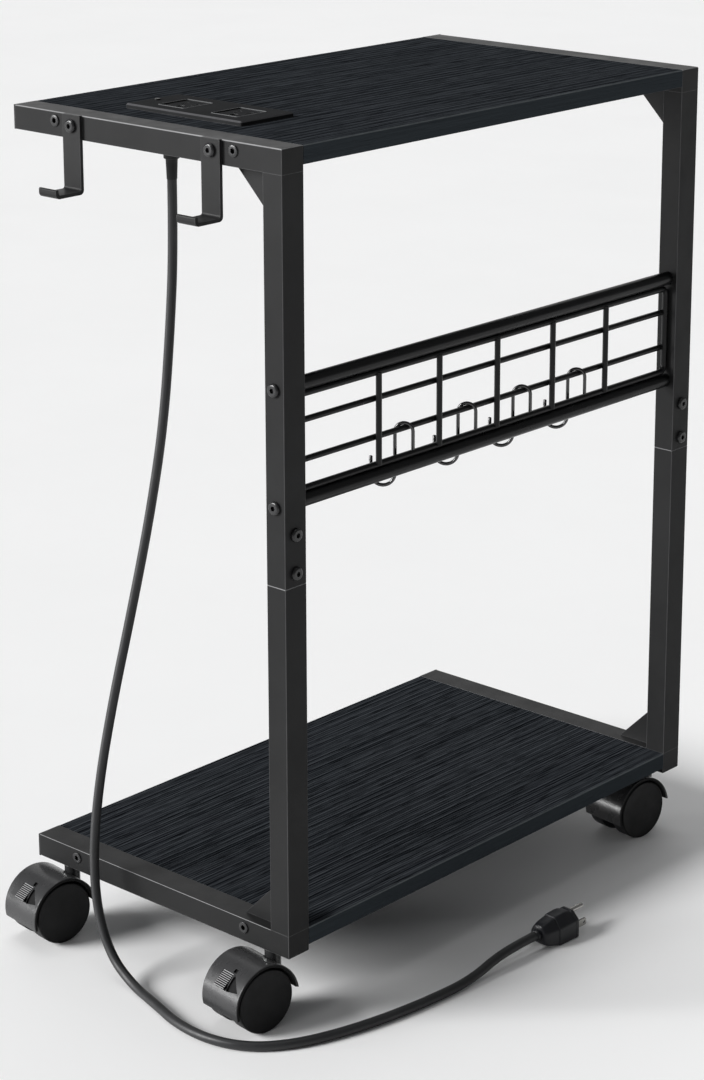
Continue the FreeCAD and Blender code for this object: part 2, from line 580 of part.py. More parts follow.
def plug_section(y, width, height):
    """A six-sided section with a narrower top."""
    half, low, high = width / 2, -height / 2, height / 2
    shoulder_z, crest_x = height * 0.2, width * 0.32
    corners = [(-half, low), (half, low), (half, shoulder_z), (crest_x, high), (-crest_x, high),
               (-half, shoulder_z), (-half, low)]
    return Part.makePolygon([Vector(x, y, z) for x, z in corners])


cord_path, cord_radii = smooth_route(CORD_ROUTE)
cord = sweep(cord_path, CORD_R)
nodes["power_cord"] = [cord]

nodes["cord_gland"] = [fuse([
    Part.makeCone(*GLAND_CONE, nut_end - gland_end, Vector(gland_x, gland_y, nut_end), -Z),
    rod((gland_x, gland_y, nut_end), (gland_x, gland_y, box_floor), GLAND_NUT_R),
    rod((gland_x, gland_y, box_floor), (gland_x, gland_y, box_floor + GLAND_THREAD), GLAND_THREAD_R)])]

nose_y = NECK + PLUG_LENGTH
neck = Part.makeCone(*NECK_RADII, NECK, Vector(0, 0, 0), Y)
body = Part.makeLoft([plug_section(NECK - 3, 15, 15), plug_section(NECK + 6, 22, 21),
                      plug_section(nose_y - 6, 25, 25), plug_section(nose_y, 24, 24)], True, True)
nodes["plug_body"] = [plug_part(fuse([neck, body]))]

pins = []
for side in (-1, 1):
    x = side * BLADE_SPACING / 2
    blade = box(x - BLADE_THICK / 2, x + BLADE_THICK / 2, nose_y, nose_y + BLADE_REACH,
                -BLADE_DROP - BLADE_WIDE / 2, -BLADE_DROP + BLADE_WIDE / 2)
    blade = blade.makeChamfer(1.2, edges_along(blade, X, lambda c: near(c.y, nose_y + BLADE_REACH)))
    hole_y = nose_y + BLADE_HOLE_AT
    pins.append(through(blade, (x - 2, hole_y, -BLADE_DROP), (x + 2, hole_y, -BLADE_DROP), BLADE_HOLE_R))
ground_z = GROUND_DROP - BLADE_DROP
ground_tip = nose_y + GROUND_PIN_REACH
ground = rod((0, nose_y, ground_z), (0, ground_tip, ground_z), GROUND_PIN_R)
tip_edge = [e for e in ground.Edges if near(e.CenterOfMass.y, ground_tip) and e.Closed]
pins.append(ground.makeFillet(1.8, tip_edge))
nodes["plug_pins"] = [plug_part(pin) for pin in pins]


# ---------------------------------------------------------------- casters, built about their stems
def polar(angle, radius, x=0.0):
    """A point about the wheel axle, in the caster's own frame. Angle 0 is +Y, 90 is up."""
    a = math.radians(angle)
    return Vector(x, -TRAIL + radius * math.cos(a), AXLE_Z + radius * math.sin(a))


def about_axle(x0, x1, radius):
    """A disc about the wheel axle."""
    return rod(polar(0, 0, x0), polar(0, 0, x1), radius)


def hood_cover():
    """The curved shell over both wheels, with its drooping tail."""
    inner = HOOD_R - HOOD_WALL
    middle = (FRONT_EDGE + TAIL_START) / 2
    x = -HOOD_HALF
    front_out, top_out, tail_out = (polar(a, HOOD_R, x) for a in (FRONT_EDGE, middle, TAIL_START))
    front_in, top_in, tail_in = (polar(a, inner, x) for a in (FRONT_EDGE, middle, TAIL_START))
    droop_out, tip_out = polar(TAIL_MIDDLE, HOOD_R + 0.7, x), polar(TAIL_TIP, HOOD_R + TAIL_FLARE, x)
    droop_in, tip_in = polar(TAIL_MIDDLE, inner + 0.2, x), polar(TAIL_TIP + 3, inner + 1.2, x)
    outline = [Part.Arc(front_out, top_out, tail_out), Part.Arc(tail_out, droop_out, tip_out),
               Part.LineSegment(tip_out, tip_in), Part.Arc(tip_in, droop_in, tail_in),
               Part.Arc(tail_in, top_in, front_in), Part.LineSegment(front_in, front_out)]
    cover = Part.Face(Part.Wire([curve.toShape() for curve in outline])).extrude(X * 2 * HOOD_HALF)

    def outer_rim(edge):
        axis = polar(0, 0, edge.CenterOfMass.x)
        ends = (edge.valueAt(edge.FirstParameter), edge.valueAt(edge.LastParameter))
        return (near(abs(edge.CenterOfMass.x), HOOD_HALF)
                and all((end - axis).Length > HOOD_R - TOUCH for end in ends))

    return cover.makeFillet(HOOD_EDGE, [e for e in cover.Edges if outer_rim(e)])


def lever_window():
    """What the brake lever needs cut out of the hood: its window, pivot holes, pocket and notch."""
    x0, x1 = LEVER_X
    window = prism([polar(a, r, x0 - LEVER_SLACK) for a, r in ((127.6, 27.7), (127.6, 40), (155.5, 40),
                                                              (155.5, 27.7))], X, x1 - x0 + 2 * LEVER_SLACK)
    reach = PIVOT_REACH + 0.3
    holes = rod(polar(LEVER_TOP, PIVOT_R, x0 - reach), polar(LEVER_TOP, PIVOT_R, x1 + reach),
                PIVOT_PIN_R + FIT)
    inward = polar(143, 0) - polar(143, 1)
    corners = ((5.5, 155.5), (6.6, 128.0), (19.0, 150.5))
    pocket = prism([polar(angle, HOOD_R + 2, x) for x, angle in corners], inward, 6)
    pocket = pocket.cut(about_axle(-HOOD_HALF, HOOD_HALF, HOOD_R - POCKET_DEPTH))
    inward = polar(123, 0) - polar(123, 1)
    corners = ((2.6, 126.4), (6.8, 126.4), (6.8, 119.6), (2.6, 119.6))
    notch = prism([polar(angle, HOOD_R + 1, x) for x, angle in corners], inward, 2.6)
    return [window, holes, pocket, notch]


def hood(with_lever):
    """The moulded cover and its middle web, with the stem's bore and the axle's bore."""
    disc = about_axle(-WEB_HALF, WEB_HALF, HOOD_R - HOOD_WALL + 0.6)
    web = disc.common(box(-30, 30, -80, 20, AXLE_Z - 8, AXLE_Z + 40))
    boss = rod((0, 0, AXLE_Z + 14), (0, 0, BASE - COLLAR - HOOD_GAP), COLLAR_R)
    body = fuse([hood_cover(), web, boss])
    body = through(body, (0, 0, AXLE_Z + 1), (0, 0, BASE), STEM_R + FIT)
    body = body.cut(about_axle(-WEB_HALF - 1, WEB_HALF + 1, AXLE_R + FIT / 2))
    for hollow in lever_window() if with_lever else []:
        body = body.cut(hollow)
    return body


def brake_lever():
    """A ribbed wedge in the hood's window, on two short pins near its top."""
    x0, x1 = LEVER_X
    top_out, low_out = polar(LEVER_TOP, HOOD_R - 0.2, x0), polar(LEVER_LOW, HOOD_R + LEVER_OUT, x0)
    wedge = prism([top_out, low_out, polar(LEVER_LOW, 30.4, x0), polar(LEVER_TOP, 29.2, x0)], X, x1 - x0)
    length = (low_out - top_out).Length
    along = (low_out - top_out).normalize()
    outward = Vector(0, -along.z, along.y)
    if outward.dot(polar(140, 1) - polar(140, 0)) < 0:
        outward = -outward
    pitch = length / (LEVER_RIBS + 0.6)
    for i in range(LEVER_RIBS):
        start = top_out + along * pitch * (i + 0.5) - X
        groove = prism([start - outward * RIB_DEPTH, start + along * RIB_GROOVE - outward * RIB_DEPTH,
                        start + along * RIB_GROOVE + outward, start + outward], X, x1 - x0 + 2)
        wedge = wedge.cut(groove)
    pins = [rod(polar(LEVER_TOP, PIVOT_R, x + way * PIVOT_REACH), polar(LEVER_TOP, PIVOT_R, x - way * 2),
                PIVOT_PIN_R) for x, way in ((x0, -1), (x1, 1))]
    return fuse([wedge] + pins)


def wheel(side):
    """One of the twin wheels; the axle's bore is blind, so the outer face is plain."""
    disc = about_axle(side * WHEEL_IN, side * WHEEL_OUT, WHEEL_R)
    disc = disc.makeFillet(WHEEL_EDGE, [e for e in disc.Edges if e.Closed])
    return disc.cut(about_axle(side * (WHEEL_IN - 1), side * WHEEL_BORE, AXLE_R + FIT))


def place(shape, corner_x, corner_y):
    """Turn a caster piece about its stem and put it under its corner of the frame."""
    shape = shape.copy()
    shape.Placement = Placement(Vector(corner_x, corner_y, 0), Rotation(Z, -SWIVEL))
    return shape


hoods = {True: hood(True), False: hood(False)}
for corner, side_x, side_y in CORNERS:
    at = (side_x * STEM_X, side_y * STEM_Y)
    braked = side_y < 0
    prefix = "caster_" + corner
    nodes[prefix + "_hood"] = [place(hoods[braked], *at)]
    nodes[prefix + "_axle"] = [place(about_axle(-AXLE_HALF, AXLE_HALF, AXLE_R), *at)]
    nodes[prefix + "_wheel_a"] = [place(wheel(-1), *at)]
    nodes[prefix + "_wheel_b"] = [place(wheel(1), *at)]
    if braked:
        nodes[prefix + "_brake_lever"] = [place(brake_lever(), *at)]
    stems.append(fuse([rod((*at, AXLE_Z + 2), (*at, BASE), STEM_R),
                       rod((*at, BASE - COLLAR), (*at, BASE), COLLAR_R),
                       rod((*at, BASE), (*at, BASE + POST_STEM), POST_STEM_R)]))
    end = "front" if side_y < 0 else "back"
    rails[end, "bottom"] = through(rails[end, "bottom"], (*at, BASE - 1), (*at, BASE + WALL + 1),
                                   POST_STEM_R + FIT)
    weld_nuts.append(nut((*at, BASE + WALL), Z, POST_STEM_R + FIT, STEM_NUT_R, STEM_NUT))

# ---------------------------------------------------------------- gather the nodes
for (end, level), shape in rails.items():
    nodes["%s_%s_rail" % (end, level)] = [shape]
for (end, half), shape in posts.items():
    nodes["%s_post_%s" % (end, half)] = [shape]
nodes["post_sleeves"] = sleeves
nodes["corner_gussets"] = gussets
nodes["rail_caps"] = caps
nodes["weld_nuts"] = weld_nuts
nodes["threaded_inserts"] = inserts
nodes["shelf_screws"] = shelf_screws
nodes["sleeve_screws"] = sleeve_screws
nodes["grid_screws"] = grid_screws
nodes["headphone_hook_screws"] = hook_screws
nodes["caster_stems"] = stems

CORD_NODES = ("power_cord", "plug_body", "plug_pins", "cord_gland")
whole = FreeCAD.BoundBox()
for name, solids in nodes.items():
    if name not in CORD_NODES:
        for solid in solids:
            whole.add(solid.BoundBox)
shift = Vector(-whole.Center.x, -whole.Center.y, 0)

for name, solids in sorted(nodes.items()):
    compound = Part.makeCompound(solids)
    compound.translate(shift)
    compound.exportStep("parts/%s.step" % name)

if __name__ == "__main__":
    print("nodes", len(nodes), "shift", [round(v, 4) for v in shift])
    print("cord: length %.1f, section x length %.0f, volume %.0f, smallest radius %.1f"
          % (cord_path.Length, math.pi * CORD_R ** 2 * cord_path.Length, cord.Volume, min(cord_radii)))
    print("cord radii", [round(r) for r in cord_radii])
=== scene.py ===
import math

import bpy
import bmesh
from mathutils import Matrix, Vector


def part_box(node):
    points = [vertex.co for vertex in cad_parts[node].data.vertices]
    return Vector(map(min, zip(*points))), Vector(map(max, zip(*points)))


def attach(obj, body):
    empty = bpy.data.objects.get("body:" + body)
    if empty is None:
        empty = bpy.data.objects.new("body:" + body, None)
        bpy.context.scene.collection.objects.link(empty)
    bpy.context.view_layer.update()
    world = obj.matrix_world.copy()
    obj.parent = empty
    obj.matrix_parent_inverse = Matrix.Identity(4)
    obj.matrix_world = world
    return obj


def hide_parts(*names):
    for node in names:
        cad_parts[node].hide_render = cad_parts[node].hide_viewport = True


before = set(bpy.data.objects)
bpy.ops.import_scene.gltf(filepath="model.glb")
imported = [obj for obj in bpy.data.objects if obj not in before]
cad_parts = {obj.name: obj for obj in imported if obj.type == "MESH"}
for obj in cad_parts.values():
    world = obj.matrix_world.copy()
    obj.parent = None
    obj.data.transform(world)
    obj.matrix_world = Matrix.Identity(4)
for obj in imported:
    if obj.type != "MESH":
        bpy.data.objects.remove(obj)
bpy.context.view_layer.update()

# The looks of the rolling computer cart: materials for the CAD's own meshes, and new pieces for the mains
# cord with its strain relief and plug, the shelf screws, the S-hooks, the lips round the receptacles, the
# brake levers and the wheels. Lengths are in metres, or in millimetres where a comment or "* MM" says so.
MM = 0.001

# ---------------------------------------------------------------- places shared with the CAD model
SHIFT = Vector((-0.0015, 0.022399, 0.0))        # frame centre to the origin under the whole cart
CORD_R = 0.004
GLAND_XY, GLAND_END = (-0.0303, -0.204), 0.667
PLUG_AT = (0.2085, -0.022, 0.0127)
PLUG_TURN = math.radians(-2.0)
FLOOR_Z = 0.0042                                # centre of the cord where it lies
CORD_ROUTE = [
    (*GLAND_XY, GLAND_END), (*GLAND_XY, 0.612), (-0.0308, -0.2085, 0.548),
    (-0.0335, -0.2155, 0.466), (-0.0405, -0.2270, 0.386), (-0.0480, -0.2430, 0.306),
    (-0.0550, -0.2600, 0.230), (-0.0585, -0.2750, 0.160), (-0.0555, -0.2865, 0.102),
    (-0.0450, -0.2940, 0.055), (-0.0250, -0.2980, 0.020), (0.0060, -0.3020, FLOOR_Z),
    (0.0430, -0.3120, FLOOR_Z), (0.0810, -0.3240, FLOOR_Z), (0.1200, -0.3250, FLOOR_Z),
    (0.1520, -0.3120, FLOOR_Z), (0.1740, -0.2850, FLOOR_Z), (0.1890, -0.2480, FLOOR_Z),
    (0.2000, -0.2030, FLOOR_Z), (0.2065, -0.1570, FLOOR_Z), (0.2095, -0.1080, FLOOR_Z),
    (0.2071, -0.0620, 0.0127), PLUG_AT]

CORNERS = ("front_left", "front_right", "back_left", "back_right")
STEM_X, STEM_Y = 0.1205, 0.253
SWIVEL = math.radians(-7.0)
TRAIL, AXLE_Z, HOOD_R = 24.5, 27.0, 31.5        # mm, in a caster's own frame


def stem_place(corner):
    """The foot of a caster's stem axis, on the floor."""
    x, y = (STEM_X if "right" in corner else -STEM_X), (STEM_Y if "back" in corner else -STEM_Y)
    return SHIFT + Vector((x, y, 0.0))


# ---------------------------------------------------------------- node materials
SOFT_BORDER = 0.0003                            # width over which one colour gives way to another


class Shader:
    """A small helper round one material's node tree, in the piece's own coordinates."""

    def __init__(self, name, base, roughness, metallic=0.0, specular=0.5):
        self.mat = bpy.data.materials.new(name)
        self.mat.use_nodes = True
        self.tree = self.mat.node_tree
        self.tree.nodes.clear()
        self.bsdf = self.add("ShaderNodeBsdfPrincipled")
        self.link(self.bsdf.outputs["BSDF"], self.add("ShaderNodeOutputMaterial").inputs["Surface"])
        self.coords = self.add("ShaderNodeTexCoord").outputs["Object"]
        self.base = base
        self.bsdf.inputs["Base Color"].default_value = (*base, 1.0)
        self.bsdf.inputs["Roughness"].default_value = roughness
        self.bsdf.inputs["Metallic"].default_value = metallic
        self.bsdf.inputs["Specular IOR Level"].default_value = specular
        self.colour = None
        self.last_normal = None

    def add(self, kind, **settings):
        node = self.tree.nodes.new(kind)
        for key, value in settings.items():
            setattr(node, key, value)
        return node

    def link(self, source, target):
        self.tree.links.new(source, target)

    def mapped(self, scale):
        node = self.add("ShaderNodeMapping")
        node.inputs["Scale"].default_value = scale
        self.link(self.coords, node.inputs["Vector"])
        return node.outputs["Vector"]

    def axes(self, vector):
        """The X, Y and Z of a vector."""
        node = self.add("ShaderNodeSeparateXYZ")
        self.link(vector, node.inputs["Vector"])
        return node.outputs["X"], node.outputs["Y"], node.outputs["Z"]

    def facing(self):
        """The X, Y and Z of the way the surface faces."""
        return self.axes(self.add("ShaderNodeTexCoord").outputs["Normal"])

    def noise(self, scale, detail, rough, stretch=(1, 1, 1), distortion=0.0):
        node = self.add("ShaderNodeTexNoise")
        node.inputs["Scale"].default_value = scale
        node.inputs["Detail"].default_value = detail
        node.inputs["Roughness"].default_value = rough
        node.inputs["Distortion"].default_value = distortion
        self.link(self.mapped(stretch), node.inputs["Vector"])
        return node.outputs["Fac"]

    def bands(self, pitch, stretch, distortion):
        """Nearly parallel bands along the front-to-back direction, about a pitch apart."""
        node = self.add("ShaderNodeTexWave", wave_type="BANDS", bands_direction="X")
        node.inputs["Scale"].default_value = math.pi / 10.0 / pitch
        node.inputs["Distortion"].default_value = distortion
        node.inputs["Detail"].default_value = 2.0
        node.inputs["Detail Scale"].default_value = 1.3
        self.link(self.mapped(stretch), node.inputs["Vector"])
        return node.outputs["Fac"]

    def ranged(self, value, low, high, to_low, to_high):
        node = self.add("ShaderNodeMapRange")
        for key, number in (("From Min", low), ("From Max", high), ("To Min", to_low), ("To Max", to_high)):
            node.inputs[key].default_value = number
        self.link(value, node.inputs["Value"])
        return node.outputs["Result"]

    def maths(self, operation, a, b=0.0):
        node = self.add("ShaderNodeMath", operation=operation)
        for socket, value in zip(node.inputs, (a, b)):
            if isinstance(value, (int, float)):
                socket.default_value = value
            else:
                self.link(value, socket)
        return node.outputs["Value"]

    def tint(self, factor, colour):
        """Mix another colour over what is there so far."""
        node = self.add("ShaderNodeMix", data_type="RGBA")
        self.link(factor, node.inputs["Factor"])
        if self.colour is None:
            node.inputs["A"].default_value = (*self.base, 1.0)
        else:
            self.link(self.colour, node.inputs["A"])
        node.inputs["B"].default_value = (*colour, 1.0)
        self.colour = node.outputs["Result"]
        self.link(self.colour, self.bsdf.inputs["Base Color"])

    def mottle(self, scale, amount):
        """Slight unevenness of colour: paler patches of the base."""
        factor = self.ranged(self.noise(scale, 4.0, 0.6), 0.3, 0.7, 0.0, 1.0)
        self.tint(factor, tuple(c * (1 + amount) for c in self.base))

    def gloss(self, roughness):
        self.link(roughness, self.bsdf.inputs["Roughness"])

    def gloss_variation(self, scale, low, high):
        self.gloss(self.ranged(self.noise(scale, 4.0, 0.6), 0.3, 0.7, low, high))

    def bump(self, height, distance, strength):
        node = self.add("ShaderNodeBump")
        node.inputs["Distance"].default_value = distance
        node.inputs["Strength"].default_value = strength
        self.link(height, node.inputs["Height"])
        if self.last_normal is not None:
            self.link(self.last_normal, node.inputs["Normal"])
        self.last_normal = node.outputs["Normal"]
        self.link(self.last_normal, self.bsdf.inputs["Normal"])

    def painted_edge_highlight(self, colour, radius, amount):
        """Painted highlight along the edges, broken into patches: paler where the surface turns sharply
        within a small radius.
        """
        bevel = self.add("ShaderNodeBevel", samples=6)
        bevel.inputs["Radius"].default_value = radius
        dot = self.add("ShaderNodeVectorMath", operation="DOT_PRODUCT")
        self.link(bevel.outputs["Normal"], dot.inputs[0])
        self.link(self.add("ShaderNodeNewGeometry").outputs["Normal"], dot.inputs[1])
        untouched, brightest_turn = 0.995, 0.88         # cosine of the turn
        turned = self.ranged(dot.outputs["Value"], untouched, brightest_turn, 0.0, amount)
        patchy = self.ranged(self.noise(90.0, 4.0, 0.65), 0.35, 0.65, 0.35, 1.0)
        self.tint(self.maths("MULTIPLY", turned, patchy), colour)

    def painted_edge_sheen(self, colour):
        """Painted highlight on the rounded edges of a square-set piece: where the surface faces along none of
        its axes, stronger where the edge faces up.
        """
        along_axis, on_edge = 0.985, 0.90       # largest part of the surface's direction
        upright = 0.3                           # share of the painted highlight on edges that run up and down
        faces = self.facing()
        x, y, z = (self.maths("ABSOLUTE", part) for part in faces)
        squareness = self.maths("MAXIMUM", self.maths("MAXIMUM", x, y), z)
        turned = self.ranged(squareness, along_axis, on_edge, 0.0, 1.0)
        level = self.ranged(faces[2], 0.05, 0.25, upright, 1.0)
        patchy = self.ranged(self.noise(60.0, 4.0, 0.65), 0.3, 0.6, 0.75, 1.0)
        self.tint(self.maths("MULTIPLY", self.maths("MULTIPLY", turned, level), patchy), colour)

    def painted_cavity_shade(self, colour, distance):
        """Painted shade in narrow places, taken from occlusion: slots, sockets and grooves about as wide as
        the distance.
        """
        hidden = self.add("ShaderNodeAmbientOcclusion", samples=8)
        hidden.inputs["Distance"].default_value = distance
        in_open, deep_down = 0.80, 0.42
        self.tint(self.ranged(hidden.outputs["AO"], in_open, deep_down, 0.0, 1.0), colour)

    def below(self, height, colour):
        """Another colour under a height of the piece."""
        up = self.axes(self.coords)[2]
        self.tint(self.ranged(up, height, height - SOFT_BORDER, 0.0, 1.0), colour)

    def within(self, radius, place, turn, centre_y, centre_z, colour):
        """Another colour nearer than a radius to a level axis; returns where that is. place, turn: where
        the axis's own frame stands; centre_y, centre_z: the axis in it."""
        node = self.add("ShaderNodeMapping", vector_type="TEXTURE")
        node.inputs["Location"].default_value = place
        node.inputs["Rotation"].default_value = (0.0, 0.0, turn)
        self.link(self.coords, node.inputs["Vector"])
        across = self.axes(node.outputs["Vector"])
        y = self.maths("SUBTRACT", across[1], centre_y)
        z = self.maths("SUBTRACT", across[2], centre_z)
        squares = self.maths("ADD", self.maths("MULTIPLY", y, y), self.maths("MULTIPLY", z, z))
        inside = self.ranged(self.maths("SQRT", squares), radius, radius - SOFT_BORDER, 0.0, 1.0)
        self.tint(inside, colour)
        return inside


def powder_coat(name, base, roughness, specular, rounded=None, cavity=0.0):
    """Satin black powder coat: fine orange peel, soft cloudiness, and a painted highlight along the edges.
    rounded: colour of the painted highlight on the rounded edges; cavity: width of the narrow places that get
    painted shade."""
    shader = Shader(name, base, roughness, specular=specular)
    shader.mottle(14.0, 0.35)
    shader.gloss_variation(45.0, roughness - 0.05, roughness + 0.07)
    shader.painted_edge_highlight(tuple(c * 5.0 + 0.02 for c in base), radius=0.0008, amount=0.9)
    if rounded:
        shader.painted_edge_sheen(rounded)
    if cavity:
        shader.painted_cavity_shade((0.0008, 0.0008, 0.0009), cavity)
    shader.bump(shader.noise(520.0, 3.0, 0.5), distance=0.00012, strength=0.35)
    shader.bump(shader.noise(2100.0, 2.0, 0.5), distance=0.00004, strength=0.35)
    return shader.mat


def wood_board(name):
    """Black wood-look laminate: close ribbed grain and broken pores running front to back."""
    shader = Shader(name, (0.0052, 0.0064, 0.0082), 0.62, specular=0.0)
    figure = shader.noise(34.0, 5.0, 0.6, (1.0, 0.05, 1.0), 0.5)
    broad = shader.bands(0.0075, (1.0, 0.05, 1.0), 3.5)
    close = shader.bands(0.0031, (1.0, 0.03, 1.0), 4.0)
    ribs = shader.noise(430.0, 1.0, 0.4, (1.0, 0.014, 1.0), 0.10)
    fine = shader.noise(900.0, 4.0, 0.6, (1.0, 0.020, 1.0))
    pores = shader.ranged(shader.noise(1100.0, 2.0, 0.5, (1.0, 0.03, 1.0)), 0.55, 0.64, 0.0, 1.0)
    for pattern, low, high, amount, colour in (
            (figure, 0.35, 0.68, 0.60, (0.0110, 0.0132, 0.0165)),
            (ribs, 0.46, 0.60, 0.55, (0.0400, 0.0445, 0.0505)),
            (close, 0.30, 0.85, 0.55, (0.0420, 0.0465, 0.0530)),
            (broad, 0.62, 0.95, 0.60, (0.0540, 0.0590, 0.0660)),
            (fine, 0.52, 0.66, 0.30, (0.0460, 0.0500, 0.0560))):
        shader.tint(shader.ranged(pattern, low, high, 0.0, amount), colour)
    shader.tint(shader.maths("MULTIPLY", pores, 0.8), (0.0015, 0.0018, 0.0024))
    shader.gloss(shader.ranged(ribs, 0.3, 0.7, 0.50, 0.72))
    shader.bump(close, distance=0.0006, strength=0.8)
    shader.bump(ribs, distance=0.0006, strength=0.8)
    shader.bump(fine, distance=0.0003, strength=0.5)
    shader.bump(shader.maths("SUBTRACT", 1.0, pores), distance=0.00025, strength=0.5)
    edge_band = shader.ranged(shader.maths("ABSOLUTE", shader.facing()[0]), 0.80, 0.97, 0.0, 0.9)
    shader.tint(edge_band, (0.0370, 0.0440, 0.0500))
    # painted highlight on the board's rounded edges
    shader.painted_edge_sheen((0.135, 0.150, 0.158))
    return shader.mat


def moulded(name, base, roughness, specular=0.4, grain=700.0, depth=0.00009, edge_highlight=None, rounded=None):
    """Moulded plastic or rubber with a fine spark-eroded texture. The colours given for the sharp and for the
    rounded edges are painted highlights."""
    shader = Shader(name, base, roughness, specular=specular)
    shader.mottle(35.0, 0.2)
    shader.gloss_variation(60.0, roughness - 0.05, roughness + 0.07)
    if edge_highlight:
        shader.painted_edge_highlight(edge_highlight, radius=0.0007, amount=0.8)
    if rounded:
        shader.painted_edge_sheen(rounded)
    shader.bump(shader.noise(grain, 3.0, 0.55), depth, strength=0.5)
    return shader.mat


def metal(name, base, roughness, unevenness):
    """Bare or plated metal with fine handling marks."""
    grain = 380.0
    shader = Shader(name, base, roughness, metallic=1.0)
    shader.mottle(60.0, unevenness)
    shader.gloss_variation(grain / 3, roughness - 0.08, roughness + 0.12)
    shader.bump(shader.noise(grain, 3.0, 0.6), distance=0.00004, strength=0.4)
    return shader.mat


def cord_jacket(name):
    """Satin PVC sheath, slightly uneven, with a few duller patches."""
    shader = Shader(name, (0.0185, 0.0188, 0.0198), 0.40, specular=0.38)
    shader.mottle(28.0, 0.4)
    shader.gloss_variation(70.0, 0.34, 0.52)
    shader.bump(shader.noise(420.0, 3.0, 0.6), distance=0.00010, strength=0.45)
    return shader.mat


def wheel_tread(name):
    """Hard nylon wheel: even and dark, slightly scuffed."""
    shader = Shader(name, (0.0075, 0.0076, 0.0080), 0.55, specular=0.22)
    shader.mottle(50.0, 0.25)
    scuffs = shader.ranged(shader.noise(140.0, 6.0, 0.7, distortion=1.2), 0.6, 0.72, 0.0, 0.35)
    shader.tint(scuffs, (0.016, 0.016, 0.017))
    shader.gloss_variation(80.0, 0.44, 0.6)
    shader.bump(shader.noise(900.0, 3.0, 0.55), distance=0.00006, strength=0.5)
    return shader.mat


def caster_hood(name, place):
    """Semi-gloss moulded cover with a painted highlight on its edges; inside its outer skin, round the wheel,
    painted shade and a duller finish.
    """
    skin = 0.4                                  # mm
    shader = Shader(name, (0.0310, 0.0312, 0.0322), 0.27, specular=0.48)
    shader.mottle(35.0, 0.2)
    shader.painted_edge_highlight((0.07, 0.07, 0.074), radius=0.0007, amount=0.8)
    # painted shade: near-black inside the hood's outer skin, round the wheel
    inside = shader.within((HOOD_R - skin) * MM, place, SWIVEL, -TRAIL * MM, AXLE_Z * MM,
                      (0.0022, 0.0022, 0.0024))
    outside = shader.ranged(shader.noise(60.0, 4.0, 0.6), 0.3, 0.7, 0.22, 0.34)
    shader.gloss(shader.maths("MAXIMUM", outside, shader.maths("MULTIPLY", inside, 0.95)))
    shader.bump(shader.noise(800.0, 3.0, 0.55), distance=0.00006, strength=0.5)
    return shader.mat


def receptacle_plastic(name, face_z):
    """The outlet's plastic, with a painted highlight on its edges and painted shade down in its slots."""
    shader = Shader(name, (0.0260, 0.0265, 0.0275), 0.5, specular=0.0)
    shader.mottle(35.0, 0.2)
    shader.gloss_variation(60.0, 0.45, 0.57)
    shader.painted_edge_highlight((0.30, 0.30, 0.305), radius=0.0006, amount=0.8)
    # painted shade under the receptacle faces, down in the slots
    shader.below(face_z - SOFT_BORDER, (0.0006, 0.0006, 0.0007))
    shader.bump(shader.noise(900.0, 3.0, 0.55), distance=0.00005, strength=0.5)
    return shader.mat


MATERIALS = {
    # frame_steel's rounded colour is a painted highlight on its filleted edges
    "frame_steel": powder_coat("frame_steel_coat", (0.0145, 0.0146, 0.0149), roughness=0.40, specular=0.11,
                               rounded=(0.27, 0.27, 0.275)),
    "formed_steel": powder_coat("formed_steel_coat", (0.0150, 0.0151, 0.0154), roughness=0.38,
                                specular=0.15),
    "grid_steel": powder_coat("grid_steel_coat", (0.0050, 0.0051, 0.0054), roughness=0.30, specular=0.22),
    "hook_wire": powder_coat("hook_wire_coat", (0.0045, 0.0046, 0.0049), roughness=0.15, specular=0.90),
    # a near-black material: painted shade in the screw sockets and on the levers' grooves, sides and ends
    "painted_recess_shade": moulded("painted_recess_shade", (0.0012, 0.0012, 0.0013), roughness=0.6, specular=0.1),
    # the fastener's cavity setting paints shade into its hex sockets
    "fastener": powder_coat("fastener_black_oxide", (0.0130, 0.0131, 0.0138), roughness=0.26,
                            specular=0.50, cavity=0.0018),
    "board": wood_board("board_laminate"),
    "zinc_steel": metal("zinc_plated_steel", (0.62, 0.63, 0.62), roughness=0.32, unevenness=0.18),
    "black_plastic": moulded("cap_plastic", (0.0080, 0.0082, 0.0088), roughness=0.5, specular=0.3),
    "outlet_plastic": moulded("outlet_plastic", (0.0260, 0.0265, 0.0275), roughness=0.5, specular=0.0,
                              grain=900.0, depth=0.00005, edge_highlight=(0.14, 0.14, 0.145),
                              rounded=(0.085, 0.085, 0.089)),
    # the lips' pale colour is a painted highlight along the receptacles' edges
    "outlet_rim": moulded("outlet_rim_painted_highlight", (0.110, 0.112, 0.116), roughness=0.45, specular=0.3,
                          grain=900.0, depth=0.00004),
    "receptacle": receptacle_plastic("receptacle_plastic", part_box("receptacles")[1][2]),
    "breaker_plastic": moulded("breaker_plastic", (0.045, 0.045, 0.047), roughness=0.55),
    "button_plastic": moulded("button_plastic", (0.0060, 0.0062, 0.0070), roughness=0.35, specular=0.35),
    "contact_brass": metal("contact_brass", (0.78, 0.57, 0.27), roughness=0.28, unevenness=0.2),
    "cord_jacket": cord_jacket("cord_sheath"),
    "plug_rubber": moulded("plug_rubber", (0.0085, 0.0090, 0.0112), roughness=0.36, specular=0.36,
                           grain=650.0, depth=0.00008, edge_highlight=(0.045, 0.045, 0.052)),
    "plug_metal": metal("nickel_plate", (0.46, 0.45, 0.43), roughness=0.20, unevenness=0.2),
    "caster_wheel": wheel_tread("caster_wheel_nylon"),
    "caster_lever": moulded("caster_lever_plastic", (0.2400, 0.2405, 0.2440), roughness=0.45,
                            depth=0.00008),
}
for corner in CORNERS:
    MATERIALS["caster_hood_" + corner] = caster_hood("caster_hood_%s_plastic" % corner, stem_place(corner))

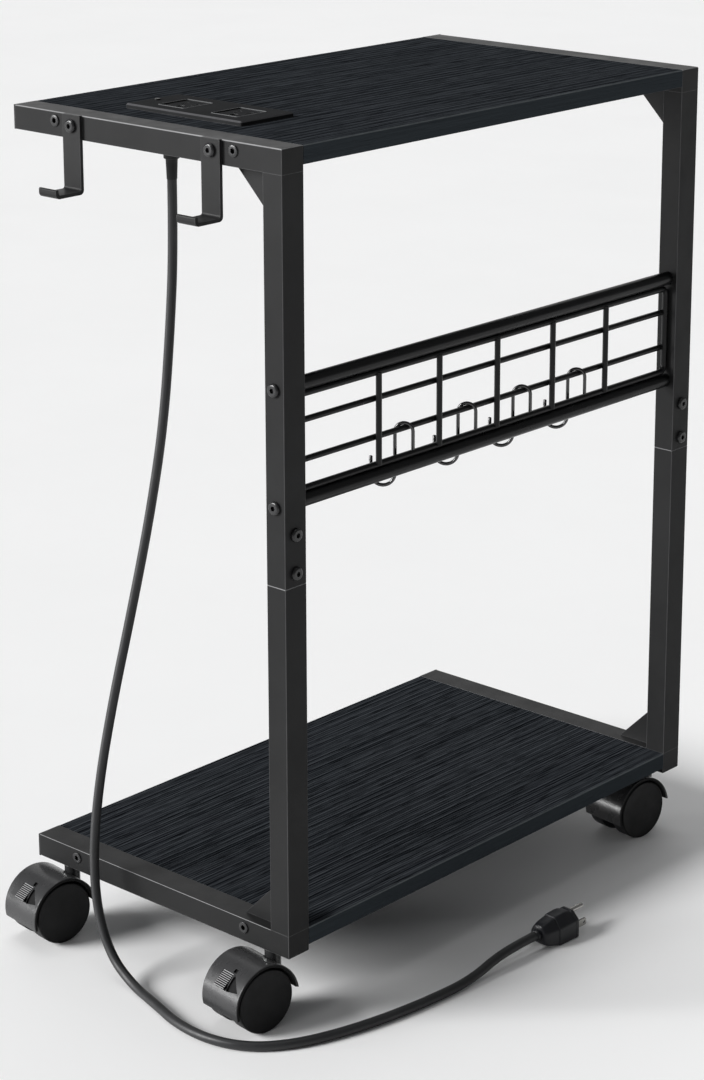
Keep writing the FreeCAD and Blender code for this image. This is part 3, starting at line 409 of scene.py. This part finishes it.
NODES_BY_LOOK = {
    "frame_steel": ["front_top_rail", "front_bottom_rail", "back_top_rail", "back_bottom_rail",
                    "front_post_upper", "front_post_lower", "back_post_upper", "back_post_lower"],
    "formed_steel": ["corner_gussets", "headphone_hook_left", "headphone_hook_right"],
    "grid_steel": ["grid_tube_lower", "grid_tube_upper", "grid_inner_rods", "grid_long_wires",
                   "grid_cross_wires"],
    "fastener": ["sleeve_screws", "grid_screws", "headphone_hook_screws"],
    "board": ["top_shelf", "bottom_shelf"],
    "zinc_steel": ["post_sleeves", "weld_nuts", "threaded_inserts", "caster_stems"],
    "black_plastic": ["rail_caps", "outlet_box"],
    "outlet_plastic": ["outlet_faceplate"],
    "receptacle": ["receptacles"],
    "breaker_plastic": ["overload_breaker"],
    "button_plastic": ["reset_button"],
    "contact_brass": ["receptacle_contacts"],
    "plug_metal": ["plug_pins"],
}
for corner in CORNERS:
    NODES_BY_LOOK["caster_hood_" + corner] = ["caster_%s_hood" % corner]
    NODES_BY_LOOK["zinc_steel"].append("caster_%s_axle" % corner)

for look, node_names in NODES_BY_LOOK.items():
    for node_name in node_names:
        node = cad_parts[node_name]
        if not node.material_slots:
            node.data.materials.append(MATERIALS[look])
        for material_slot in node.material_slots:
            material_slot.material = MATERIALS[look]


# ---------------------------------------------------------------- mesh helpers
def add_skin(bm, rings, looped=False):
    """Join rings of points that have the same count. The two end rings are filled or, if it is looped,
    joined to each other. Returns the faces of each gap between rings, and the end faces."""
    levels = [[bm.verts.new(point) for point in ring] for ring in rings]
    pairs = list(zip(levels, levels[1:]))
    if looped:
        pairs.append((levels[-1], levels[0]))
    count = len(levels[0])
    gaps = []
    for low, high in pairs:
        corners = [(i, (i + 1) % count) for i in range(count)]
        gaps.append([bm.faces.new((low[i], low[j], high[j], high[i])) for i, j in corners])
    ends = [] if looped else [bm.faces.new(levels[0][::-1]), bm.faces.new(levels[-1])]
    return gaps, ends


def lathe_rings(profile, sides, matrix):
    """Rings about local +Z for a profile of (radius, height) pairs in mm."""
    turns = [2 * math.pi * i / sides for i in range(sides)]
    return [[matrix @ (Vector((radius * math.cos(a), radius * math.sin(a), height)) * MM) for a in turns]
            for radius, height in profile]


def finish_piece(bm, name, slot, body, angle=35.0, recess=False, look=None):
    """Turn a built shape into a piece with the material of its slot or look, hung from its body. angle: the
    least turn that
    stays a sharp edge, degrees. recess: faces of material 1 take a near-black material, painted shade."""
    bmesh.ops.recalc_face_normals(bm, faces=bm.faces)
    mesh = bpy.data.meshes.new(name)
    bm.to_mesh(mesh)
    bm.free()
    mesh.materials.append(MATERIALS[look or slot])
    if recess:
        mesh.materials.append(MATERIALS["painted_recess_shade"])
    mesh.validate()
    mesh.polygons.foreach_set("use_smooth", [True] * len(mesh.polygons))
    mesh.set_sharp_from_angle(angle=math.radians(angle))
    piece = bpy.data.objects.new(name, mesh)
    bpy.context.scene.collection.objects.link(piece)
    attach(piece, body)
    return piece


def skin_piece(rings, name, slot, body, angle=35.0):
    """A piece that is one skin over rings of points."""
    bm = bmesh.new()
    add_skin(bm, rings)
    return finish_piece(bm, name, slot, body, angle)


# ---------------------------------------------------------------- mains cord
cord_curve = bpy.data.curves.new("mains_cord", "CURVE")
cord_curve.dimensions = "3D"
spline = cord_curve.splines.new("NURBS")
spline.points.add(len(CORD_ROUTE) - 1)
for point, place in zip(spline.points, CORD_ROUTE):
    point.co = (*(Vector(place) + SHIFT), 1.0)
spline.order_u = 3
spline.use_endpoint_u = True
spline.resolution_u = 16
cord_curve.bevel_depth = CORD_R
cord_curve.bevel_resolution = 7
cord_curve.use_fill_caps = True
cord_curve.materials.append(MATERIALS["cord_jacket"])
cord = bpy.data.objects.new("mains_cord", cord_curve)
bpy.context.scene.collection.objects.link(cord)
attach(cord, "root")
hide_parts("power_cord")

# strain relief: a round nut under the outlet box and a smooth tapered sleeve below it
# (radius, height above the floor) from the top down, mm
GLAND_PROFILE = [
    (4.3, 701.0), (5.5, 701.0), (5.5, 695.0), (6.2, 694.9), (6.6, 694.5), (6.6, 684.6), (6.4, 684.2),
    (6.0, 684.0), (5.2, 683.9), (4.95, 683.5), (4.8, 680.0), (4.5, 673.0), (4.35, 668.0), (4.25, 667.2),
    (4.05, 667.0)]
GLAND_SIDES = 40
gland_at = Matrix.Translation(SHIFT + Vector((*GLAND_XY, 0.0)))
gland = skin_piece(lathe_rings(GLAND_PROFILE, GLAND_SIDES, gland_at), "cord_strain_relief",
                   "black_plastic", "root")
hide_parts("cord_gland")

# ---------------------------------------------------------------- plug
CORNER_POINTS = 5
RING_POINTS = 6 * CORNER_POINTS
RING_START = -0.75 * math.pi                    # a round ring starts where the six-sided ones do
# (distance along the plug, radius), mm: a short collar a little wider than the cord
PLUG_COLLAR = [(0.0, 4.2), (0.2, 4.7), (0.7, 5.0), (3.4, 5.1), (3.9, 4.9), (4.2, 4.6)]
# (distance, width, depth below the axis, shoulder, crest, half the crest's width, corner radius), mm:
# a tapered rear part, a shallow waist, the front block with its ridge, and a thin front flange
PLUG_BODY = [
    (4.4, 12.6, 6.2, 1.0, 6.2, 3.4, 2.4), (4.8, 15.6, 7.6, 1.4, 7.6, 4.0, 2.6),
    (6.0, 17.4, 8.6, 1.8, 8.6, 4.4, 2.4), (10.0, 19.8, 10.0, 2.2, 9.8, 4.7, 2.1),
    (18.4, 22.8, 12.0, 2.6, 11.2, 5.0, 1.8), (19.2, 23.0, 12.1, 2.6, 11.3, 5.0, 1.6),
    (19.5, 22.2, 11.9, 2.4, 10.6, 4.8, 1.6), (20.0, 22.2, 11.9, 2.4, 10.6, 4.8, 1.6),
    (20.5, 24.0, 12.4, 2.8, 11.8, 5.2, 1.5), (21.6, 24.4, 12.5, 3.0, 12.2, 5.3, 1.5),
    (32.0, 24.8, 12.5, 3.2, 12.5, 5.5, 1.5), (35.5, 24.8, 12.5, 3.2, 12.3, 5.3, 1.6),
    (40.6, 24.4, 12.3, 3.4, 10.7, 5.0, 1.5), (41.0, 24.2, 12.2, 3.4, 10.6, 5.0, 1.5),
    (41.4, 24.9, 12.5, 3.9, 10.9, 5.3, 1.2), (44.3, 24.9, 12.5, 3.9, 10.9, 5.3, 1.2),
    (44.8, 24.5, 12.3, 3.8, 10.7, 5.2, 1.2), (45.0, 23.9, 12.0, 3.6, 10.4, 5.1, 1.2)]


def plug_ring(y, width, low, shoulder, crest, crest_half, radius):
    """A rounded six-sided section: flat below, upright sides, and a narrower raised crest. In mm."""
    side = width / 2
    corners = [Vector(corner) for corner in (
        (-side, -low), (side, -low), (side, shoulder), (crest_half, crest), (-crest_half, crest),
        (-side, shoulder))]
    ring = []
    for i, here in enumerate(corners):
        before, after = corners[i - 1], corners[(i + 1) % len(corners)]
        start = here + (before - here).normalized() * radius
        end = here + (after - here).normalized() * radius
        for k in range(CORNER_POINTS):
            t = k / (CORNER_POINTS - 1)
            p = start * (1 - t) ** 2 + here * 2 * t * (1 - t) + end * t ** 2
            ring.append(Vector((p.x, y, p.y)) * MM)
    return ring


def round_ring(y, radius):
    turns = [2 * math.pi * (i + 0.5) / RING_POINTS + RING_START for i in range(RING_POINTS)]
    return [Vector((radius * math.cos(a), y, radius * math.sin(a))) * MM for a in turns]


plug_at = Matrix.Translation(SHIFT + Vector(PLUG_AT)) @ Matrix.Rotation(PLUG_TURN, 4, "Z")
plug_rings = [round_ring(*section) for section in PLUG_COLLAR]
plug_rings += [plug_ring(*section) for section in PLUG_BODY]
plug = skin_piece([[plug_at @ p for p in ring] for ring in plug_rings], "mains_plug", "plug_rubber",
                  "root", 40.0)
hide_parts("plug_body")

# ---------------------------------------------------------------- shelf screws
SCREW_X, SCREW_Z, RAIL_FACE_Y = (-0.100, 0.100), (0.7145, 0.0745), 0.265
SCREW_SIDES = 48
SOCKET_R, SOCKET_DEPTH, SOCKET_CHAMFER = 2.3, 3.2, 0.25     # mm, as are the lengths below
HEAD_RISE, SHANK_R, SCREW_LENGTH = 1.4, 2.5, 5.4
SOCKET_MIDDLE, SHANK_MIDDLE = 0.1, 0.05         # rings so small that they stand for a centre point
# (radius, depth from the head's top), mm: a low head with a rounded rim, and a shank into the rail
SCREW_PROFILE = [(2.75, 0.0), (4.1, 0.0), (4.55, 0.15), (4.85, 0.5), (5.0, HEAD_RISE), (SHANK_R, HEAD_RISE),
                 (SHANK_R, SCREW_LENGTH), (SHANK_MIDDLE, SCREW_LENGTH)]


def hexagon(radius, depth, matrix):
    """A six-cornered ring with as many points as the screw's round ones. In mm."""
    ring = []
    for i in range(SCREW_SIDES):
        a = 2 * math.pi * i / SCREW_SIDES
        off_flat = (a + math.pi / 6) % (math.pi / 3) - math.pi / 6
        reach = radius * math.cos(math.pi / 6) / math.cos(off_flat)
        ring.append(matrix @ (Vector((reach * math.cos(a), reach * math.sin(a), depth)) * MM))
    return ring


def socket_screw(bm, matrix):
    """One low-head screw with a hexagon socket, its recess in the second material as painted shade."""
    socket = ((SOCKET_MIDDLE, SOCKET_DEPTH), (SOCKET_R, SOCKET_DEPTH), (SOCKET_R, SOCKET_CHAMFER),
              (SOCKET_R + SOCKET_CHAMFER, 0.0))
    rings = [hexagon(radius, depth, matrix) for radius, depth in socket]
    gaps, ends = add_skin(bm, rings + lathe_rings(SCREW_PROFILE, SCREW_SIDES, matrix))
    for face in (*gaps[0], *gaps[1], ends[0]):
        face.material_index = 1


bm = bmesh.new()
for z in SCREW_Z:
    for side in (-1, 1):
        for x in SCREW_X:
            head_top = Vector((x, side * (RAIL_FACE_Y + HEAD_RISE * MM), z)) + SHIFT
            inward = Matrix.Rotation(side * math.pi / 2, 4, "X")
            socket_screw(bm, Matrix.Translation(head_top) @ inward)
shelf_screws = finish_piece(bm, "shelf_screw_set", "fastener", "root", 30.0, recess=True)
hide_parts("shelf_screws")

# ---------------------------------------------------------------- S-hooks, with their full free legs
HOOK_WIRE_R, HOOK_UPPER_R, HOOK_LOWER_R = 1.5, 7.3, 9.75    # mm, as are the lengths below
HOOK_FREE_LEG, HOOK_SHANK, HOOK_TIP_RISE = 15.2, 35.5, 15.0
HOOK_END, HOOK_END_SIZE = 0.4, 0.7              # the wire's ends thin to this share over this length
HOOK_Y = (-112.0, -33.0, 39.0, 114.0)
HOOK_TURN = math.radians(40.0)
HOOK_SIDES, DEGREES_PER_RING = 14, 9
LONG_WIRE_X = 137.5


def hook_stations(upper, lower):
    """The bent wire as the photo shows it: (along, up) in its plane, heading in degrees, thickness.
    upper, lower: heights of the two loops' centres."""
    free_end = upper - HOOK_FREE_LEG
    stations = [((HOOK_UPPER_R, free_end), 90, HOOK_END_SIZE), ((HOOK_UPPER_R, free_end + HOOK_END), 90, 1.0)]
    for turn in range(0, 181, DEGREES_PER_RING):
        a = math.radians(turn)
        stations.append(((HOOK_UPPER_R * math.cos(a), upper + HOOK_UPPER_R * math.sin(a)), turn + 90, 1.0))
    lower_centre = -HOOK_UPPER_R - HOOK_LOWER_R
    for turn in range(0, -181, -DEGREES_PER_RING):
        a = math.radians(turn)
        stations.append(((lower_centre + HOOK_LOWER_R * math.cos(a), lower + HOOK_LOWER_R * math.sin(a)),
                         turn - 90, 1.0))
    tip, tip_top = lower_centre - HOOK_LOWER_R, lower + HOOK_TIP_RISE
    return stations + [((tip, tip_top - HOOK_END), 90, 1.0), ((tip, tip_top), 90, HOOK_END_SIZE)]


def in_hook_plane(along, up):
    return Vector((along * math.cos(HOOK_TURN), along * math.sin(HOOK_TURN), up))


def s_hook_rings(y, upper):
    wire = SHIFT / MM + Vector((LONG_WIRE_X, y, 0.0))
    across = Vector((-math.sin(HOOK_TURN), math.cos(HOOK_TURN), 0.0))
    turns = [2 * math.pi * i / HOOK_SIDES for i in range(HOOK_SIDES)]
    rings = []
    for point, heading, thickness in hook_stations(upper, upper - HOOK_SHANK):
        a = math.radians(heading - 90)
        outward = in_hook_plane(math.cos(a), math.sin(a))
        centre = wire + in_hook_plane(*point)
        radius = HOOK_WIRE_R * thickness
        rings.append([(centre + (outward * math.cos(t) + across * math.sin(t)) * radius) * MM for t in turns])
    return rings


for number, y in enumerate(HOOK_Y, start=1):
    node_name = "s_hook_%d" % number
    loop_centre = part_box(node_name)[1][2] / MM - HOOK_WIRE_R - HOOK_UPPER_R
    hook = skin_piece(s_hook_rings(y, loop_centre), node_name + "_wire", "hook_wire", node_name + "_body",
                      50.0)
    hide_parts(node_name)

# ---------------------------------------------------------------- raised lips round the receptacles, pale as a painted highlight
FACE_CENTRES = (-29.5, 30.3)                    # mm
LIP_GAP, LIP_CORNER, CORNER_STEPS = 0.2, 1.4, 5
# (distance outward from the opening's edge, height over the plate), mm, round the lip's section
LIP_SECTION = [(0.0, -0.25), (0.0, 0.20), (0.15, 0.36), (0.45, 0.36), (0.72, 0.12), (0.80, -0.25)]


def rounded_outline(half_x, half_y, corner):
    points = []
    for quarter, (sx, sy) in enumerate(((1, 1), (-1, 1), (-1, -1), (1, -1))):
        for i in range(CORNER_STEPS + 1):
            a = math.radians(90.0 * (quarter + i / CORNER_STEPS))
            points.append(((half_x - corner) * sx + corner * math.cos(a),
                           (half_y - corner) * sy + corner * math.sin(a)))
    return points


plate_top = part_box("outlet_faceplate")[1][2]
low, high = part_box("receptacles")
middle_y = (low[1] + high[1]) / 2
face_spacing = FACE_CENTRES[1] - FACE_CENTRES[0]
half_x = (high[0] - low[0]) / MM / 2 - face_spacing / 2 + LIP_GAP
half_y = (high[1] - low[1]) / MM / 2 + LIP_GAP
bm = bmesh.new()
for x in FACE_CENTRES:
    centre = Vector((x * MM + SHIFT.x, middle_y, plate_top))
    loops = [[centre + Vector((px, py, rise)) * MM
              for px, py in rounded_outline(half_x + out, half_y + out, LIP_CORNER + out)]
             for out, rise in LIP_SECTION]
    add_skin(bm, loops, looped=True)
finish_piece(bm, "receptacle_lips", "outlet_plastic", "root", 25.0, look="outlet_rim")

# ---------------------------------------------------------------- brake levers, ribbed
LEVER_X = (-8.0, 5.0)                           # mm, as are the lengths below
LEVER_TOP, LEVER_LOW, PIVOT_ANGLE = 128.6, 153.4, 129.5     # degrees about the axle
LEVER_SUNK, LEVER_OUT = 0.1, 3.0                # its top and low edges, from the hood's outside
LEVER_BACK_TOP, LEVER_BACK_LOW = 29.2, 30.4     # radii of its back face
LEVER_EDGE, LEVER_EDGE_SIZE = 0.3, 0.96         # its sides shrink to this share over this width
RIBS, RIB_MARGIN = 8, 0.6                       # the margin is in ribs
GROOVE, GROOVE_DEPTH, GROOVE_SLOPE = 1.0, 0.8, 0.12
PIVOT_R, PIN_R, PIN_REACH, PIN_SUNK, PIN_CHAMFER, PIN_SIDES = 30.2, 0.9, 1.6, 0.5, 0.2, 16


def about_axle(angle, radius):
    """A point about the wheel axle as (front to back, up), mm."""
    a = math.radians(angle)
    return Vector((-TRAIL + radius * math.cos(a), AXLE_Z + radius * math.sin(a)))


def lever_outline():
    """The lever's side outline with its ribs, and whether each stretch lies inside a groove."""
    top, low = about_axle(LEVER_TOP, HOOD_R - LEVER_SUNK), about_axle(LEVER_LOW, HOOD_R + LEVER_OUT)
    along = (low - top).normalized()
    outward = Vector((along.y, -along.x))
    if outward.dot(top - about_axle(0, 0)) < 0:
        outward = -outward
    pitch = (low - top).length / (RIBS + RIB_MARGIN)
    points, in_groove = [top], [False]
    for i in range(RIBS):
        start = pitch * (i + 0.5)
        for reach, depth, dark in ((0.0, 0.0, True), (GROOVE_SLOPE, GROOVE_DEPTH, True),
                                   (GROOVE - GROOVE_SLOPE, GROOVE_DEPTH, True), (GROOVE, 0.0, False)):
            points.append(top + along * (start + reach) - outward * depth)
            in_groove.append(dark)
    points += [low, about_axle(LEVER_LOW, LEVER_BACK_LOW), about_axle(LEVER_TOP, LEVER_BACK_TOP)]
    in_groove += [False, False, False]
    return points, in_groove


def add_pins(bm, matrix):
    """The lever's two pivot pins, one out of each side."""
    pivot = about_axle(PIVOT_ANGLE, PIVOT_R)
    length = PIN_REACH + PIN_SUNK
    profile = [(PIN_R, 0.0), (PIN_R, length - PIN_CHAMFER), (PIN_R - PIN_CHAMFER, length)]
    for x, way in zip(LEVER_X, (-1, 1)):
        foot = matrix @ Matrix.Translation(Vector((x - way * PIN_SUNK, pivot.x, pivot.y)) * MM)
        pin = lathe_rings(profile, PIN_SIDES, foot @ Matrix.Rotation(way * math.pi / 2, 4, "Y"))
        add_skin(bm, pin)


def brake_lever(matrix):
    points, in_groove = lever_outline()
    centre = sum(points, Vector((0.0, 0.0))) / len(points)
    left, right = LEVER_X
    rings = []
    for x, size in ((left, LEVER_EDGE_SIZE), (left + LEVER_EDGE, 1.0), (right - LEVER_EDGE, 1.0),
                    (right, LEVER_EDGE_SIZE)):
        section = [centre + (p - centre) * size for p in points]
        rings.append([matrix @ (Vector((x, p.x, p.y)) * MM) for p in section])
    bm = bmesh.new()
    (left_edge, face_strip, right_edge), ends = add_skin(bm, rings)
    grooves = [face for face, dark in zip(face_strip, in_groove) if dark]
    # the lever's sides, ends and grooves take the second material: painted shade
    for face in (*left_edge, *grooves, *right_edge, *ends):
        face.material_index = 1
    add_pins(bm, matrix)
    return bm


for corner in CORNERS[:2]:
    matrix = Matrix.Translation(stem_place(corner)) @ Matrix.Rotation(SWIVEL, 4, "Z")
    lever = finish_piece(brake_lever(matrix), "caster_%s_ribbed_lever" % corner, "caster_lever",
                         "caster_%s_brake" % corner, 30.0, recess=True)
    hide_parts("caster_%s_brake_lever" % corner)

# ---------------------------------------------------------------- caster wheels
# (radius, distance outward from the wheel's middle), mm: a hub boss and recess on the inner side, a
# faint mould line round the tread, and a plain disc outside with a fine step near its rim
WHEEL_PROFILE = [
    (3.1, -7.0), (4.6, -7.0), (4.9, -7.5), (5.2, -7.6), (8.0, -7.6), (8.3, -7.4), (8.6, -6.4), (21.0, -6.4),
    (21.6, -6.6), (22.0, -7.5), (22.4, -7.6), (25.4, -7.6), (26.2, -7.4), (26.8, -6.9), (27.0, -6.2),
    (27.0, -0.35), (26.85, -0.15), (26.85, 0.15), (27.0, 0.35), (27.0, 6.4), (26.85, 7.05), (26.4, 7.5),
    (26.0, 7.6), (25.6, 7.6), (25.45, 7.5), (25.35, 7.2), (25.2, 7.12), (14.0, 7.06), (0.05, 7.0)]
WHEEL_SIDES = 96


def box_centre(node_name):
    low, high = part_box(node_name)
    return (Vector(low) + Vector(high)) / 2


for corner in CORNERS:
    for letter, side in (("a", -1), ("b", 1)):
        node_name = "caster_%s_wheel_%s" % (corner, letter)
        outward = Matrix.Rotation(SWIVEL, 4, "Z") @ Matrix.Rotation(side * math.pi / 2, 4, "Y")
        rings = lathe_rings(WHEEL_PROFILE, WHEEL_SIDES, Matrix.Translation(box_centre(node_name)) @ outward)
        wheel = skin_piece(rings, "caster_%s_tyre_%s" % (corner, letter), "caster_wheel",
                           node_name + "_body")
        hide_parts(node_name)

# ---------------------------------------------------------------- stage, lights and camera
FLOOR_REACH = 30.0
LIGHT_DISTANCE = 4.0
ROOM_COLOUR, ROOM_STRENGTH = (0.94, 0.95, 0.96, 1.0), 0.16
CAMERA_AT = (1.5761, -1.7336, 1.1041)
CAMERA_AZIMUTH, CAMERA_PITCH = math.radians(41.748), math.radians(15.134)
CAMERA_LENS, CAMERA_SENSOR = 93.98, 36.0        # mm
CAMERA_SHIFT = (-0.0249, -0.15)


def stage_floor():
    shader = Shader("studio_floor", (0.94, 0.94, 0.94), 0.75, specular=0.2)
    shader.mottle(3.0, 0.02)
    shader.bump(shader.noise(60.0, 3.0, 0.5), distance=0.0004, strength=0.1)
    corners = [(x * FLOOR_REACH, y * FLOOR_REACH, 0.0) for x, y in ((-1, -1), (1, -1), (1, 1), (-1, 1))]
    mesh = bpy.data.meshes.new("floor")
    mesh.from_pydata(corners, [], [(0, 1, 2, 3)])
    mesh.materials.append(shader.mat)
    floor = bpy.data.objects.new("floor", mesh)
    bpy.context.scene.collection.objects.link(floor)


def broad_light(name, towards, strength, spread):
    """Even light from a wide, distant source. towards: the way from the cart to the light."""
    light = bpy.data.lights.new(name, "SUN")
    light.energy = strength
    light.angle = math.radians(spread)
    lamp = bpy.data.objects.new(name, light)
    lamp.location = Vector(towards).normalized() * LIGHT_DISTANCE
    lamp.rotation_euler = (-Vector(towards)).to_track_quat("-Z", "Y").to_euler()
    bpy.context.scene.collection.objects.link(lamp)


stage_floor()
broad_light("key", (-0.50, -0.80, 0.50), strength=3.7, spread=25.0)
broad_light("top", (-0.15, 0.10, 1.0), strength=0.5, spread=40.0)
broad_light("low", (-0.66, -0.72, 0.07), strength=1.3, spread=12.0)
broad_light("back", (-0.65, 0.70, 0.45), strength=0.36, spread=50.0)

world = bpy.data.worlds.new("studio")
world.use_nodes = True
room = world.node_tree.nodes["Background"]
room.inputs["Color"].default_value = ROOM_COLOUR
room.inputs["Strength"].default_value = ROOM_STRENGTH
bpy.context.scene.world = world
bpy.context.scene.view_settings.view_transform = "Standard"

camera_data = bpy.data.cameras.new("camera")
camera_data.sensor_width = CAMERA_SENSOR
camera_data.sensor_fit = "AUTO"
camera_data.lens = CAMERA_LENS
camera_data.shift_x, camera_data.shift_y = CAMERA_SHIFT
camera_data.clip_end = 200.0
camera = bpy.data.objects.new("camera", camera_data)
camera.location = CAMERA_AT
camera.rotation_euler = (math.pi / 2 - CAMERA_PITCH, 0.0, CAMERA_AZIMUTH)
bpy.context.scene.collection.objects.link(camera)
bpy.context.scene.camera = camera
